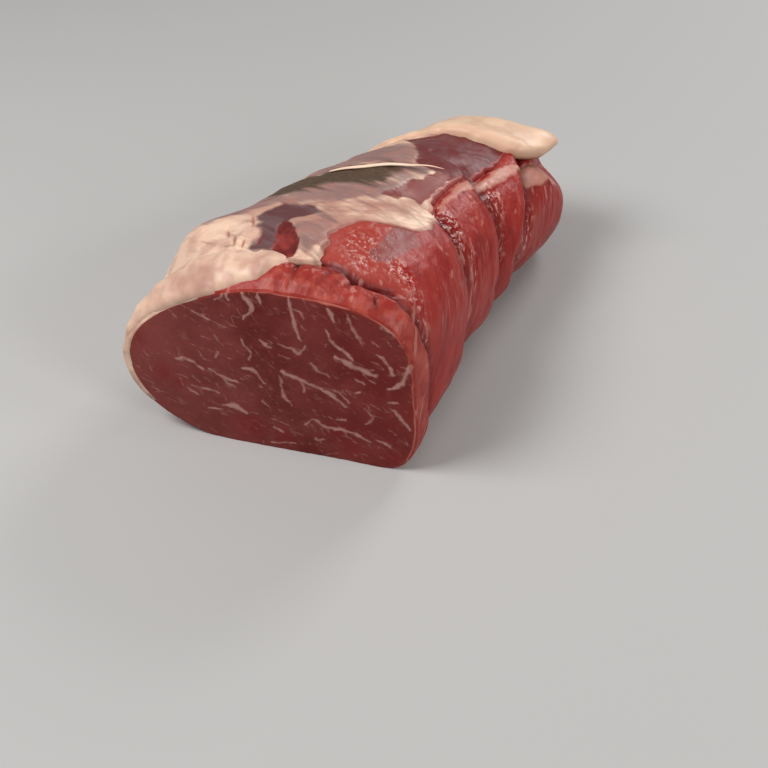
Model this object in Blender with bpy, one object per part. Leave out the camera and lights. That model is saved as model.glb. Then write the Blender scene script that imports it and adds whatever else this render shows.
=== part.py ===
"""Raw beef joint: a boned and trimmed piece of roasting beef, standing ready for the oven.

Two solids make it up:
  lean_muscle  the long red muscle, cut square across at the front (-Y), with the four valleys
               that the butcher's ties have pressed into its right side, and a domed rear end;
  fat_cover    the blanket of fat that lies along the upper left of the muscle, rolled thick at
               the cut, thin over the back and thick again as the cap at the rear.

Metres, +Z up, +Y from the cut face to the rear.  The joint rests on the flat it has sagged into.
Every cross-section of the muscle is four quarter superellipses about one centre; the numbers
that shape them change smoothly along the length.
"""
import bpy
import numpy as np

MM = 0.001

# ---------------------------------------------------------------- driving dimensions (millimetres)
LENGTH = 225.0            # cut face to the end of the domed rear
END_DOME = 24.0           # length over which the rear end rounds off
DOME_POWER = 2.4          # 2 would be an ellipse, more is blunter
FACE_YAW = 0.093          # the cut runs slightly out of square: left edge nearer the front
YAW_REACH = 120.0         # how far back that skew is still felt
SAG = 4.0                 # how much of the round underside the board has flattened
GAP = 0.5                 # clearance between the muscle and its fat
DOME_GAP = 2.0            # that clearance grows by this share over the domed end
BRIDGE = 0.15             # share of a valley's depth that the stiff fat spans instead of filling

# stations along the length, measured from the cut face, and the section at each of them
STATIONS = (0, 14, 40, 85, 130, 165, 200, 225)
LEFT = (-134, -134, -132, -119, -101, -83, -67, -55)      # left edge of the muscle
RIGHT = (7, 10, 13, 15, 19, 25, 28, 24)                   # right edge
TOP = (98, 102, 103, 98, 89, 81, 73, 68)                  # height
MID_X = (-60, -60, -56, -50, -40, -29, -20, -14)          # centre the section is drawn about
MID_Z = (46, 46, 46, 45, 42, 38, 34, 32)
POWER_UPPER_RIGHT = (3.4, 3.1, 2.8, 2.5, 2.3, 2.2, 2.1, 2.0)
POWER_UPPER_LEFT = (1.65, 1.7, 1.85, 2.0, 2.0, 2.0, 2.0, 2.0)
POWER_LOWER_LEFT = (2.3, 2.3, 2.3, 2.3, 2.3, 2.3, 2.3, 2.3)
POWER_LOWER_RIGHT = (5.5, 4.0, 2.8, 2.4, 2.4, 2.4, 2.4, 2.4)

# valleys pressed in by the ties: distance back at the top, at the bottom, and depth
VALLEYS = ((27, 14, 4.5), (87, 60, 7.0), (136, 110, 7.5), (184, 140, 8.0))
VALLEY_WIDTH = 11.0       # distance over which a valley rises again
VALLEY_POWER = 1.4        # how sharply it does so
VALLEY_TOP_DEG = 50.0     # angle round the section where "top" is measured
VALLEY_SPAN_DEG = 46.0    # and how far round the bottom is
VALLEY_RUN = (-0.3, 1.1)  # the slant goes on between these shares of that span
VALLEY_MID_DEG = 5.0      # the valleys are deepest about this angle
VALLEY_REACH_DEG = 62.0   # and fade out this far either side of it
VALLEY_FADE_DEG = 7.0     # over this many degrees

# fat cover: stations, its right-hand and left-hand edges as angles round the section
FAT_STATIONS = (0, 20, 50, 90, 130, 160, 188, 221)
FAT_RIGHT_DEG = (112, 93, 74, 60, 66, 72, 46, 42)
FAT_LEFT_DEG = (203, 205, 204, 202, 200, 198, 194, 186)
FAT_THICKNESS = (3.0, 3.6, 3.6, 3.4, 3.4, 4.6, 7.0, 7.0)
FAT_ROLLS = ((8, 15, 128, 24, 6.5), (44, 19, 128, 30, 6.0))      # back, reach, angle, spread, height
FAT_EDGE = 1.6            # thickness left at its rim
FAT_END = 221.0           # where the fat stops at the rear
FAT_TAPER = 16.0          # length over which it thins down to that end
TAPER_POWER = 3           # how bluntly it does so
RIM_POWER = 6             # how squarely its thickness falls off at the sides

# looks: linear colour and roughness
LEAN_COLOUR = (0.30, 0.045, 0.040)
LEAN_ROUGHNESS = 0.38
FAT_COLOUR = (0.78, 0.55, 0.45)
FAT_ROUGHNESS = 0.45

# mesh fineness
ROUND_STEPS = 80
LONG_STEPS = 34
DOME_STEPS = 7
FACE_RINGS = 3
FAT_ROUND_STEPS = 22
FLAT_NORMAL_Y = -0.9      # faces that look forward more than this are the cut, shaded flat


# ---------------------------------------------------------------- shape functions
def smooth(at, knots, values):
    """Cubic Hermite curve through the knots, slopes from the neighbours on either side."""
    knots = np.asarray(knots, float)
    values = np.asarray(values, float)
    slope = np.gradient(values, knots)
    at = np.clip(at, knots[0], knots[-1])
    i = np.clip(np.searchsorted(knots, at) - 1, 0, len(knots) - 2)
    h = knots[i + 1] - knots[i]
    t = (at - knots[i]) / h
    start = (2 * t**3 - 3 * t**2 + 1) * values[i] + (t**3 - 2 * t**2 + t) * h * slope[i]
    finish = (3 * t**2 - 2 * t**3) * values[i + 1] + (t**3 - t**2) * h * slope[i + 1]
    return start + finish


def section_radius(back, angle):
    """Distance from the section's centre to its skin: (|cos/a|^n + |sin/b|^n)^(-1/n), with the
    half widths a, b and the power n of whichever quarter the angle falls in."""
    left, right, top, mx, mz = [smooth(back, STATIONS, v) for v in (LEFT, RIGHT, TOP, MID_X, MID_Z)]
    c, s = np.cos(angle), np.sin(angle)
    on_right, on_top = c >= 0, s >= 0
    upper = np.where(on_right, smooth(back, STATIONS, POWER_UPPER_RIGHT),
                     smooth(back, STATIONS, POWER_UPPER_LEFT))
    lower = np.where(on_right, smooth(back, STATIONS, POWER_LOWER_RIGHT),
                     smooth(back, STATIONS, POWER_LOWER_LEFT))
    n = np.where(on_top, upper, lower)
    a = np.where(on_right, right - mx, mx - left)
    b = np.where(on_top, top - mz, mz + SAG)
    return (np.abs(c / a)**n + np.abs(s / b)**n)**(-1.0 / n)


def valley_depth(back, angle):
    """Depth of the tie valleys: each falls off as exp(-distance^power) either side of a line that
    slants to the front going down, and all of them fade away from the right flank."""
    deg = np.degrees((angle + np.pi) % (2 * np.pi) - np.pi)
    flank = 1.0 / (1.0 + np.exp((np.abs(deg - VALLEY_MID_DEG) - VALLEY_REACH_DEG) / VALLEY_FADE_DEG))
    down = np.clip((VALLEY_TOP_DEG - deg) / VALLEY_SPAN_DEG, *VALLEY_RUN)
    depth = np.zeros(np.broadcast(back, angle).shape)
    for at_top, at_bottom, deep in VALLEYS:
        away = np.abs(back - at_top - (at_bottom - at_top) * down)
        depth = np.maximum(depth, deep * np.exp(-(away / VALLEY_WIDTH)**VALLEY_POWER))
    return depth * flank


def dome(back):
    """Scale of the section over the rounded rear end: a superellipse falling from 1 to 0."""
    k = np.clip((back - (LENGTH - END_DOME)) / END_DOME, 0, 1)
    return (1 - k**DOME_POWER)**(1 / DOME_POWER)


def skin_point(back, angle, extra):
    """A point `extra` outside the muscle's skin, as an (..., 3) array; the board clips it at
    height zero and the cut face's skew is added in."""
    r = (section_radius(back, angle) - valley_depth(back, angle)) * dome(back) + extra
    x = smooth(back, STATIONS, MID_X) + r * np.cos(angle)
    z = np.maximum(smooth(back, STATIONS, MID_Z) + r * np.sin(angle), 0.0)
    y = back + FACE_YAW * x * (1 - np.clip(back / YAW_REACH, 0, 1))
    return np.stack([x, y + 0 * z, z], axis=-1)


def fat_thickness(back, angle, across):
    """Thickness of the fat: its station value plus the rolls near the cut, drawn down to a thin
    rim at the edges by a rounded shoulder."""
    base = smooth(back, FAT_STATIONS, FAT_THICKNESS)
    deg = np.degrees(angle)
    for at, reach, mid, spread, high in FAT_ROLLS:
        base = base + high * np.exp(-((back - at) / reach)**2 - ((deg - mid) / spread)**2)
    shoulder = (1 - np.abs(2 * across - 1)**RIM_POWER)**0.5
    rear = np.clip((FAT_END - back) / FAT_TAPER, 0, 1)
    shoulder = shoulder * (1 - (1 - rear)**TAPER_POWER)**0.5
    return FAT_EDGE + (base - FAT_EDGE) * shoulder


# ---------------------------------------------------------------- mesh helpers
def ring_faces(rings, around, start=0):
    """Quads between successive closed rings of `around` points each."""
    faces = []
    for i in range(rings - 1):
        for j in range(around):
            k = (j + 1) % around
            faces.append((start + i * around + j, start + i * around + k,
                          start + (i + 1) * around + k, start + (i + 1) * around + j))
    return faces


def make_solid(name, points, faces, material):
    """Mesh object from millimetre points; smooth shaded, the cut face left flat."""
    mesh = bpy.data.meshes.new(name)
    mesh.from_pydata([tuple(p) for p in np.asarray(points) * MM], [], faces)
    mesh.validate()
    mesh.materials.append(material)
    for poly in mesh.polygons:
        poly.use_smooth = poly.normal.y > FLAT_NORMAL_Y
    obj = bpy.data.objects.new(name, mesh)
    bpy.context.collection.objects.link(obj)
    return obj


def make_material(name, colour, roughness):
    """Plain Principled material with a linear base colour."""
    mat = bpy.data.materials.new(name)
    mat.use_nodes = True
    shader = next(n for n in mat.node_tree.nodes if n.type == "BSDF_PRINCIPLED")
    shader.inputs["Base Color"].default_value = (*colour, 1.0)
    shader.inputs["Roughness"].default_value = roughness
    shader.inputs["Metallic"].default_value = 0.0
    mat.diffuse_color = (*colour, 1.0)
    return mat


# ---------------------------------------------------------------- the two solids
for old in list(bpy.data.objects):
    bpy.data.objects.remove(old, do_unlink=True)

# lean muscle: face rings from the centre out, then rings along the length, then the end point
angles = np.arange(ROUND_STEPS) * 2 * np.pi / ROUND_STEPS
along = np.linspace(0, LENGTH - END_DOME, LONG_STEPS)
domed = LENGTH - END_DOME + END_DOME * np.sin(np.linspace(0, np.pi / 2, DOME_STEPS + 2)[1:-1])
along = np.concatenate([along, domed])
B, A = np.meshgrid(along, angles, indexing="ij")
shell = skin_point(B, A, 0.0)

front_mid = np.array([MID_X[0], FACE_YAW * MID_X[0], MID_Z[0]])
shares = np.arange(1, FACE_RINGS) / FACE_RINGS
face = front_mid + (shell[0] - front_mid) * shares[:, None, None]
lean_points = np.concatenate([front_mid[None], face.reshape(-1, 3), shell.reshape(-1, 3),
                              [[MID_X[-1], LENGTH, MID_Z[-1]]]])
rings = FACE_RINGS - 1 + len(along)
lean_faces = [(0, 1 + j, 1 + (j + 1) % ROUND_STEPS) for j in range(ROUND_STEPS)]
lean_faces += [f[::-1] for f in ring_faces(rings, ROUND_STEPS, 1)]
last = 1 + (rings - 1) * ROUND_STEPS
tip = len(lean_points) - 1
lean_faces += [(last + (j + 1) % ROUND_STEPS, last + j, tip) for j in range(ROUND_STEPS)]

# fat cover: an inner sheet on the muscle, an outer sheet, and walls round the rim
across = np.linspace(0, 1, FAT_ROUND_STEPS + 1)
fat_along = along[along <= FAT_END]
FB, FW = np.meshgrid(fat_along, across, indexing="ij")
edge_r = np.radians(smooth(FB, FAT_STATIONS, FAT_RIGHT_DEG))
edge_l = np.radians(smooth(FB, FAT_STATIONS, FAT_LEFT_DEG))
FA = edge_r + (edge_l - edge_r) * FW
on_dome = np.clip((FB - (LENGTH - END_DOME)) / END_DOME, 0, 1)
clear = GAP * (1 + DOME_GAP * on_dome**2) + BRIDGE * valley_depth(FB, FA)
inner = skin_point(FB, FA, clear)
outer = skin_point(FB, FA, clear + fat_thickness(FB, FA, FW))
fat_points = np.concatenate([inner.reshape(-1, 3), outer.reshape(-1, 3)])
rows, cols = FB.shape
count = rows * cols
fat_faces = []
for i in range(rows - 1):
    for j in range(cols - 1):
        a = i * cols + j
        quad = (a, a + 1, a + 1 + cols, a + cols)
        fat_faces.append(quad)
        fat_faces.append(tuple(count + v for v in reversed(quad)))
for i in range(rows - 1):
    for j, turn in ((0, 1), (cols - 1, -1)):
        a = i * cols + j
        quad = (a, a + cols, a + cols + count, a + count)
        fat_faces.append(quad[::turn])
for j in range(cols - 1):
    for i, turn in ((0, -1), (rows - 1, 1)):
        a = i * cols + j
        quad = (a, a + 1, a + 1 + count, a + count)
        fat_faces.append(quad[::turn])

# stand the joint over the middle of its own footprint
everything = np.concatenate([lean_points, fat_points])
low, high = everything.min(axis=0), everything.max(axis=0)
shift = np.array([-(low[0] + high[0]) / 2, -(low[1] + high[1]) / 2, -low[2]])
print("size mm", np.round(high - low, 1), "shift mm", np.round(shift, 2))

meat = make_material("raw_beef_lean", LEAN_COLOUR, LEAN_ROUGHNESS)
fat = make_material("beef_fat", FAT_COLOUR, FAT_ROUGHNESS)
make_solid("lean_muscle", lean_points + shift, lean_faces, meat)
make_solid("fat_cover", fat_points + shift, fat_faces, fat)
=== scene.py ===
# %% [markdown]
# # A raw beef roasting joint
# A roasting joint is one long muscle cut square across at the front.  It shows six surfaces: the
# marbled cut face, the moist red flank pinched into lobes where ties have been, the blanket of fat
# along the upper left, the thick fat cap at the rear, a rounded lip of fat at the cut, and
# skin-like membranes that have started to dry on top.  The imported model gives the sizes; the
# pieces made here are fine surfaces that lie on the same section curves.

import bpy
import numpy as np
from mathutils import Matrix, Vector


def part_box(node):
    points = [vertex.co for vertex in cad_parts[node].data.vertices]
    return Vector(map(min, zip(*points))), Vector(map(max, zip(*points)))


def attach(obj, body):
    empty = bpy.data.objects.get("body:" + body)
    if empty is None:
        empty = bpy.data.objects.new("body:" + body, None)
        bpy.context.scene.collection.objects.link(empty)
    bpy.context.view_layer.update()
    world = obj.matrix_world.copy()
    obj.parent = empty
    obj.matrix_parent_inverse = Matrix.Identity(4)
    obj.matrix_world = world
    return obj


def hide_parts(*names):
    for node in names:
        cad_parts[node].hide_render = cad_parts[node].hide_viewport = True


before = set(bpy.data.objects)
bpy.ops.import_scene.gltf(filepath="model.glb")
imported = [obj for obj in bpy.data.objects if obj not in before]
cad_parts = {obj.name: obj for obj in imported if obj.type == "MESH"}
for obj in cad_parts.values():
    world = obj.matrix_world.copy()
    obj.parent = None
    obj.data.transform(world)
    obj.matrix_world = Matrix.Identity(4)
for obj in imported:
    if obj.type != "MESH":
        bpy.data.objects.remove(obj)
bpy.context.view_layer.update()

# %% [markdown]
# ## The section curves
# Every cross-section of the muscle is four quarter superellipses about one centre.  A quarter
# superellipse is a rounded corner whose squareness is set by one power, so a few numbers per
# station give a sagged, lopsided, fleshy outline.  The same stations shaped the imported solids.
# All lengths here are millimetres, measured back from the cut face and across from its lower
# right corner.

# %% Driving dimensions
MM = 0.001
LENGTH = 225.0
END_DOME = 24.0
DOME_POWER = 2.4
FACE_YAW = 0.093
YAW_REACH = 120.0
SAG = 4.0

STATIONS = (0, 14, 40, 85, 130, 165, 200, 225)
LEFT = (-134, -134, -132, -119, -101, -83, -67, -55)
RIGHT = (7, 10, 13, 15, 19, 25, 28, 24)
TOP = (98, 102, 103, 98, 89, 81, 73, 68)
MID_X = (-60, -60, -56, -50, -40, -29, -20, -14)
MID_Z = (46, 46, 46, 45, 42, 38, 34, 32)
POWER_UPPER_RIGHT = (3.4, 3.1, 2.8, 2.5, 2.3, 2.2, 2.1, 2.0)
POWER_UPPER_LEFT = (1.65, 1.7, 1.85, 2.0, 2.0, 2.0, 2.0, 2.0)
POWER_LOWER_LEFT = (2.3, 2.3, 2.3, 2.3, 2.3, 2.3, 2.3, 2.3)
POWER_LOWER_RIGHT = (5.5, 4.0, 2.8, 2.4, 2.4, 2.4, 2.4, 2.4)


# %% Section curves
def smooth(at, knots, values):
    """Cubic Hermite curve through the knots, slopes from the neighbours on either side."""
    knots = np.asarray(knots, float)
    values = np.asarray(values, float)
    slope = np.gradient(values, knots)
    at = np.clip(at, knots[0], knots[-1])
    i = np.clip(np.searchsorted(knots, at) - 1, 0, len(knots) - 2)
    h = knots[i + 1] - knots[i]
    t = (at - knots[i]) / h
    start = (2 * t**3 - 3 * t**2 + 1) * values[i] + (t**3 - 2 * t**2 + t) * h * slope[i]
    finish = (3 * t**2 - 2 * t**3) * values[i + 1] + (t**3 - t**2) * h * slope[i + 1]
    return start + finish


def step(low, high, x):
    """0 below low, 1 above high, and 3t^2 - 2t^3 between."""
    t = np.clip((x - low) / (high - low), 0, 1)
    return t * t * (3 - 2 * t)


def section_radius(back, angle):
    """Distance from the section's centre to its skin: (|cos/a|^n + |sin/b|^n)^(-1/n), with the
    half widths a, b and the power n of whichever quarter the angle falls in."""
    left, right, top, mx, mz = [smooth(back, STATIONS, v) for v in (LEFT, RIGHT, TOP, MID_X, MID_Z)]
    c, s = np.cos(angle), np.sin(angle)
    on_right, on_top = c >= 0, s >= 0
    upper = np.where(on_right, smooth(back, STATIONS, POWER_UPPER_RIGHT),
                     smooth(back, STATIONS, POWER_UPPER_LEFT))
    lower = np.where(on_right, smooth(back, STATIONS, POWER_LOWER_RIGHT),
                     smooth(back, STATIONS, POWER_LOWER_LEFT))
    n = np.where(on_top, upper, lower)
    a = np.where(on_right, right - mx, mx - left)
    b = np.where(on_top, top - mz, mz + SAG)
    return (np.abs(c / a)**n + np.abs(s / b)**n)**(-1.0 / n)


def dome(back):
    """Scale of the section over the rounded rear end: a superellipse falling from 1 to 0."""
    k = np.clip((back - (LENGTH - END_DOME)) / END_DOME, 0, 1)
    return (1 - k**DOME_POWER)**(1 / DOME_POWER)


# %% Where the formula's joint stands in the frame
def place(back, angle, radius):
    """Millimetre point at a distance `radius` from the section's centre; the board clips it at
    height zero, and the cut's skew fades out along the length."""
    x = smooth(back, STATIONS, MID_X) + radius * np.cos(angle)
    z = np.maximum(smooth(back, STATIONS, MID_Z) + radius * np.sin(angle), 0.0)
    y = back + FACE_YAW * x * (1 - np.clip(back / YAW_REACH, 0, 1))
    return np.stack([x, y + 0 * z, z], axis=-1)


def skin_at(back, angle):
    """Millimetre point of the plain skin, before any relief is added."""
    return place(back, angle, section_radius(back, angle) * dome(back))


lean_low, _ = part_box("lean_muscle")
SHIFT = np.array([lean_low.x / MM - min(LEFT), lean_low.y / MM - FACE_YAW * LEFT[0], 0.0])
print("shift of the formula's origin, mm", np.round(SHIFT, 1))

# %% [markdown]
# ## Uneven flesh
# Nothing on a joint is even, so every surface and every edge is stirred by smooth noise: random
# numbers on the corners of a lattice, blended between the corners.  Several octaves of it make
# lumps with smaller lumps on them.  Marks that have a place, such as a valley or a streak of fat,
# are drawn on the surface as short lines and outlines in degrees round and millimetres back.


# %% Noise
def corner_value(i, j, k, seed):
    """Repeatable random number from 0 to 1 for a whole-number lattice corner, by mixing bits."""
    h = (i * 374761393 + j * 668265263 + k * 1440662683 + seed * 974634777) & 0xFFFFFFFF
    h = ((h ^ (h >> 13)) * 1274126177) & 0xFFFFFFFF
    return ((h ^ (h >> 16)) & 0xFFFFFF) / float(0xFFFFFF)


def value_noise(points, size, seed):
    """Smooth noise from -1 to 1: corner values blended with 3t^2 - 2t^3 along each axis."""
    p = points / size
    cell = np.floor(p).astype(np.int64)
    t = p - cell
    t = t * t * (3 - 2 * t)
    total = 0.0
    for di in (0, 1):
        for dj in (0, 1):
            for dk in (0, 1):
                weight = ((t[..., 0] if di else 1 - t[..., 0]) * (t[..., 1] if dj else 1 - t[..., 1])
                          * (t[..., 2] if dk else 1 - t[..., 2]))
                total = total + weight * corner_value(cell[..., 0] + di, cell[..., 1] + dj,
                                                      cell[..., 2] + dk, seed)
    return 2 * total - 1


def lumps(points, size, seed, octaves=3):
    """Sum of octaves of value noise, each half the size and half the height of the last."""
    return sum(value_noise(points, size / 2**n, seed + n) / 2**n for n in range(octaves))


def noise_at(x, y=0.0, z=0.0):
    """Noise position from separate numbers, so that noise can follow a line or a stretched plane."""
    return np.stack(np.broadcast_arrays(x, y, z), -1)


def swell(points):
    """The joint's broad unevenness in mm, shared by the muscle and the fat that lies on it."""
    return 1.1 * lumps(points, 34.0, 21, 2)


def wander(points):
    """How far in mm the ties' lines and the edges of marks stray."""
    return 2.2 * lumps(points, 26.0, 11, 2)


# %% Lines and outlines drawn on the surface
DEG_MM = 1.05        # millimetres that one degree spans on a typical part of the skin


def as_mm(line):
    """Points given as (degrees, mm back) turned to plane millimetres."""
    return [(a * DEG_MM, b) for a, b in line]


def line_distance(u, v, line):
    """Distance from each (u, v) to a chain of straight segments, and how far along it the
    nearest point is, from 0 to 1."""
    best = np.full(np.broadcast(u, v).shape, 1e9)
    along = np.zeros_like(best)
    for n, ((u0, v0), (u1, v1)) in enumerate(zip(line[:-1], line[1:])):
        du, dv = u1 - u0, v1 - v0
        t = np.clip(((u - u0) * du + (v - v0) * dv) / (du * du + dv * dv), 0, 1)
        d = np.hypot(u - u0 - t * du, v - v0 - t * dv)
        along = np.where(d < best, (n + t) / (len(line) - 1), along)
        best = np.minimum(best, d)
    return best, along


def inside_distance(u, v, outline):
    """Signed distance to a closed outline, positive inside: the nearest edge's distance, with
    its sign from how many edges a ray to the right crosses."""
    ring = list(outline) + [outline[0]]
    edge, _ = line_distance(u, v, ring)
    inside = np.zeros(edge.shape, bool)
    for (u0, v0), (u1, v1) in zip(ring[:-1], ring[1:]):
        if v0 == v1:
            continue
        crosses = ((v0 > v) != (v1 > v)) & (u < (u1 - u0) * (v - v0) / (v1 - v0) + u0)
        inside ^= crosses
    return np.where(inside, edge, -edge)


def patch(angle_deg, back, outline, soft, stir=0.0):
    """1 inside an outline given in (degrees, mm back), 0 outside, over an edge `soft` mm wide
    that `stir` mm of noise makes ragged."""
    return step(-soft / 2, soft / 2, inside_distance(angle_deg * DEG_MM, back, as_mm(outline)) + stir)


# %% [markdown]
# ## Meshes from grids
# A piece is an array of points, rows by columns.  Two helpers turn such arrays into closed meshes:
# one for a tube-like surface whose columns meet and whose ends are closed by a point, and one for
# a slab with a top sheet, a bottom sheet and walls between.  Both lay out a UV map that fills the
# square, and both take named per-point numbers that the materials read as attributes.


# %% Mesh helpers
def finish_mesh(name, points, faces, uvs, masks):
    """Object from millimetre points, face tuples, a UV pair for each face corner in order, and
    masks with one number for each point."""
    mesh = bpy.data.meshes.new(name)
    mesh.from_pydata(((points + SHIFT) * MM).tolist(), [], faces)
    layer = mesh.uv_layers.new(name="OFBake")
    layer.data.foreach_set("uv", np.asarray(uvs, np.float32).ravel())
    for key, values in masks.items():
        attribute = mesh.attributes.new(key, "FLOAT", "POINT")
        attribute.data.foreach_set("value", np.asarray(values, np.float32).ravel())
    mesh.polygons.foreach_set("use_smooth", np.ones(len(mesh.polygons), bool))
    obj = bpy.data.objects.new(name, mesh)
    bpy.context.scene.collection.objects.link(obj)
    print(f"{name}: {len(points)} points, {len(faces)} faces")
    return obj


def grid_quads(rows, cols, closed):
    """Corner numbers (faces, 4) of a grid's quads, and their UV corners, wrapping the columns
    round when `closed`."""
    spans = cols if closed else cols - 1
    i, j = [a.ravel() for a in np.meshgrid(np.arange(rows - 1), np.arange(spans), indexing="ij")]
    k = (j + 1) % cols
    quads = np.stack([i * cols + j, i * cols + k, (i + 1) * cols + k, (i + 1) * cols + j], axis=1)
    u0, u1, v0, v1 = j / spans, (j + 1) / spans, i / (rows - 1), (i + 1) / (rows - 1)
    uv = np.stack([np.stack(c, axis=1) for c in ((u0, v0), (u1, v0), (u1, v1), (u0, v1))], axis=1)
    return quads, uv


def tube_mesh(name, grid, masks, start=None, end=None):
    """Closed surface from rows of closed rings; each end narrows to a point, by default the
    mean of its ring.  Rings run anticlockwise seen from the last row."""
    rows, cols = grid.shape[:2]
    quads, uv = grid_quads(rows, cols, True)
    start = grid[0].mean(axis=0) if start is None else np.asarray(start, float)
    end = grid[-1].mean(axis=0) if end is None else np.asarray(end, float)
    points = np.concatenate([grid.reshape(-1, 3), start[None], end[None]])
    first, last = rows * cols, rows * cols + 1
    j = np.arange(cols)
    k = (j + 1) % cols
    low = np.stack([k, j, np.full(cols, first)], axis=1)
    top = np.stack([(rows - 1) * cols + j, (rows - 1) * cols + k, np.full(cols, last)], axis=1)
    fan = np.stack([(j + 1) / cols, j / cols, (j + 0.5) / cols], axis=1)
    low_uv = np.stack([fan, np.tile([0.0, 0.0, 0.0], (cols, 1))], axis=2)
    top_uv = np.stack([fan[:, [1, 0, 2]], np.tile([1.0, 1.0, 1.0], (cols, 1))], axis=2)
    faces = quads.tolist() + low.tolist() + top.tolist()
    uvs = np.concatenate([uv.reshape(-1, 2), low_uv.reshape(-1, 2), top_uv.reshape(-1, 2)])
    full = {k: np.concatenate([m.ravel(), [m[0].mean(), m[-1].mean()]]) for k, m in masks.items()}
    return finish_mesh(name, points, faces, uvs, full)


def rim_loop(rows, cols):
    """Point numbers once round the outside of a grid."""
    return np.concatenate([np.arange(cols), cols * np.arange(1, rows) + cols - 1,
                           (rows - 1) * cols + np.arange(cols - 2, -1, -1),
                           cols * np.arange(rows - 2, 0, -1)])


def slab_mesh(name, top, bottom, masks, solid_back=True):
    """Closed slab from a top and a bottom sheet of the same shape, with walls round the rim.
    The bottom's UVs sit in a thin strip, because it is never seen.  Without `solid_back` only
    the bottom's rim is kept and closed by a fan to its middle."""
    rows, cols = top.shape[:2]
    count = rows * cols
    quads, uv = grid_quads(rows, cols, False)
    rim = rim_loop(rows, cols)
    nxt = np.roll(rim, -1)
    low, low_nxt = rim + count, nxt + count
    if solid_back:
        below = bottom.reshape(-1, 3)
        low_faces = (quads[:, ::-1] + count).tolist()
        low_uv = (uv[:, ::-1] * [1.0, 0.03] + [0.0, 0.965]).reshape(-1, 2)
        low_rows = slice(None)
    else:
        low = count + np.arange(len(rim))
        low_nxt = np.roll(low, -1)
        edge = bottom.reshape(-1, 3)[rim]
        below = np.concatenate([edge, edge.mean(axis=0)[None]])
        low_faces = np.stack([low_nxt, low, np.full(len(rim), count + len(rim))], axis=1).tolist()
        low_uv = np.tile([[0.5, 0.98], [0.51, 0.98], [0.5, 0.99]], (len(rim), 1))
        low_rows = np.append(rim, 0)
    walls = np.stack([nxt, rim, low, low_nxt], axis=1)
    wall_uv = np.tile([[0.0, 0.997], [0.01, 0.997], [0.01, 1.0], [0.0, 1.0]], (len(rim), 1))
    points = np.concatenate([top.reshape(-1, 3), below])
    faces = quads.tolist() + low_faces + walls.tolist()
    uvs = np.concatenate([(uv * [1.0, 0.96]).reshape(-1, 2), low_uv, wall_uv])
    full = {k: np.concatenate([m.ravel(), m.ravel()[low_rows]]) for k, m in masks.items()}
    return finish_mesh(name, points, faces, uvs, full)


# %% [markdown]
# ## The lean flank
# The ties have been taken off, and the valleys that they pressed remain: sharp creases that
# slant forward going down, with the flesh bulging between.  They could be modelled as bent
# cylinders cut away, but flesh is pulled in, not cut, so the section's radius is lowered by a
# cusp that is steep in front of the tie and slow behind it, and swells just in front, so each
# lobe overhangs the next.  Behind the cut a narrow band of the muscle has curled up into a rim,
# with a crease behind it.

# %% Valleys, rim and gashes
# each tie's valley: mm back at the top, mm back at the bottom, depth
VALLEYS = ((15, 16, 4.2), (87, 60, 8.0), (136, 110, 8.5), (184, 140, 9.0))
VALLEY_TOP_DEG = 50.0
VALLEY_SPAN_DEG = 46.0
VALLEY_MID_DEG = 5.0
VALLEY_REACH_DEG = 62.0
VALLEY_FADE_DEG = 7.0
# lines and outlines below are points of (degrees round, mm back)
RIM_CREASE = ((96, 15), (87, 17.5), (78, 19), (70, 20.5), (64, 19), (58, 16.5), (52, 15.5), (44, 19))
GASHES = (((50, 92), (54, 98), (56, 110), (57, 122), (56, 134)),
          ((51, 140), (54, 152), (57, 164), (60, 178)),
          ((44, 182), (43, 190), (36, 200)))
LOBE_CAPS = (((54, 98), (55, 112), (56, 124), (54, 134), (49, 132), (51, 118), (51, 104), (49, 96)),
             ((53, 160), (50, 150), (50, 138), (46, 136), (44, 150), (44, 166), (42, 174), (47, 172),
              (51, 166)),
             ((42, 194), (44, 182), (37, 177), (30, 173), (27, 182), (26, 192), (17, 199), (24, 203),
              (34, 200)))
# each fold of the rim: degrees and mm back at its deep end, then at its faint end, and depth
RIM_FOLDS = ((83, 17, 82, 3, 2.2), (69, 14, 70, 5, 1.4), (75, 10, 77, 3, 0.8), (58, 13, 59, 8, 2.2),
             (48, 8, 45, 3, 2.4), (63, 9, 62, 3, 0.9))
RIM_SWELL = 1.9          # mm that the curled rim stands up
RIM_STRETCH = 0.35       # its lumps are this much shorter round than along
CREASE_DEEP, CREASE_REACH = 3.0, 1.5
GASH_DEEP, GASH_REACH = 2.4, 2.2
FOLD_REACH = 1.2
CAP_SWELL = 0.7
SUNK_UNDER_FAT = 1.7     # mm that the muscle keeps clear of the fat above
# each flare at the cut: middle and reach in degrees, and size
FLARES = ((180, 34, 2.4), (-16, 14, 1.6))
# dent below the rear cap: degrees, reach, mm back, reach, depth
REAR_DENT = (31.0, 15.0, 207.0, 11.0, 8.0)


def tie_distance(back, deg, at_top, at_bottom, wobble):
    """Signed distance behind one tie's line, which slants forward going down."""
    down = np.clip((VALLEY_TOP_DEG - deg) / VALLEY_SPAN_DEG, -0.3, 1.1)
    return back - at_top - (at_bottom - at_top) * down + wobble


def flank_fade(deg):
    """1 on the right flank, 0 past the fat's edge and underneath."""
    return 1.0 / (1.0 + np.exp((np.abs(deg - VALLEY_MID_DEG) - VALLEY_REACH_DEG) / VALLEY_FADE_DEG))


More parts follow.
